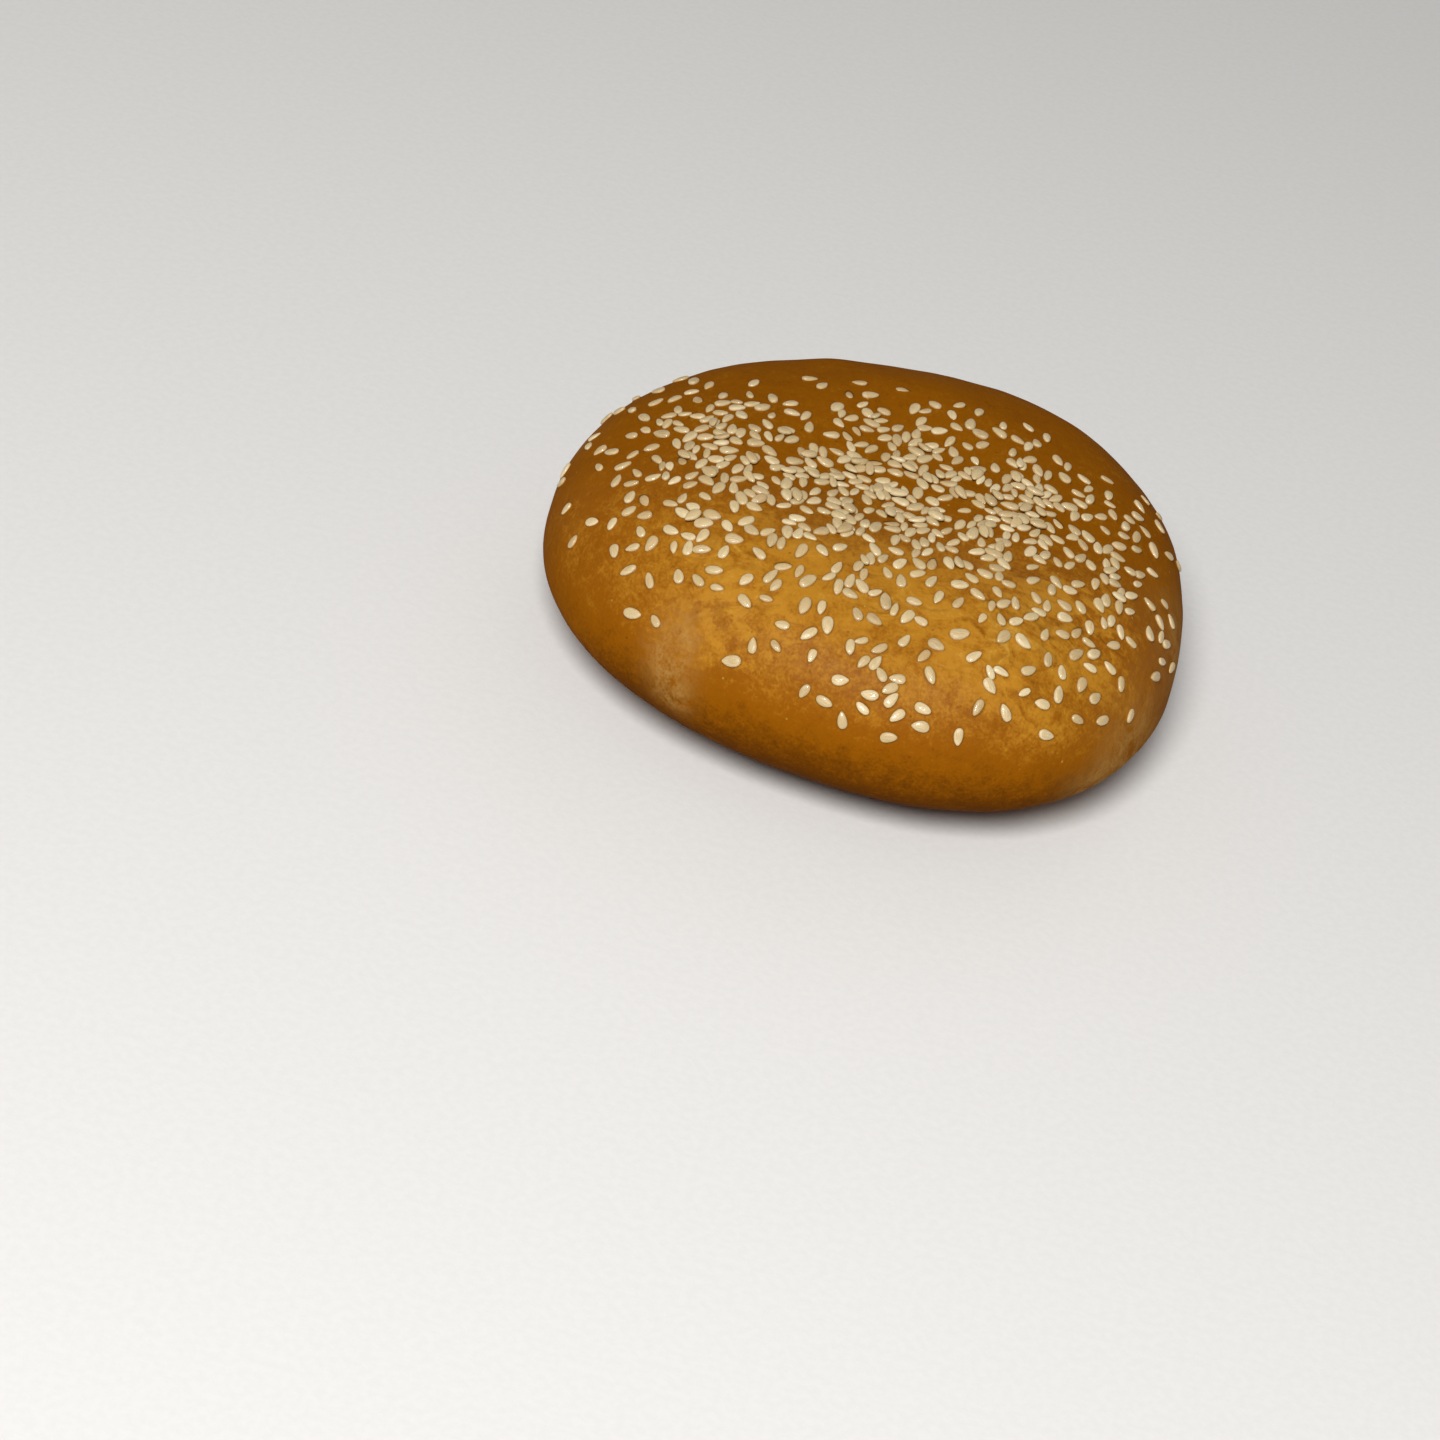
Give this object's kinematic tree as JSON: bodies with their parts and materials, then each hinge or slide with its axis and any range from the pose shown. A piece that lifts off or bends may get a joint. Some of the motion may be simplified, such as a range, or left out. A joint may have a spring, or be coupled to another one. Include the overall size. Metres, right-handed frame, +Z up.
{
  "type": "red bean mochi bun",
  "caption": "Flat round baked bun of glazed mochi dough with a soft hollow in its crown and white sesame seeds scattered over the top.",
  "frame": {"origin": "middle of the bounding box's underside, on the surface that the bun rests on", "axes": "+Z up through the crown, +X along the bun's longest way, -Y towards the side where the seeds run furthest down"},
  "size_m": [0.1017, 0.098, 0.0359],
  "materials": {
    "crust": "satin glazed golden brown crust, with cream white sesame seeds fused to it"
  },
  "bodies": {
    "root": {"bun": "crust"}
  },
  "joints": []
}
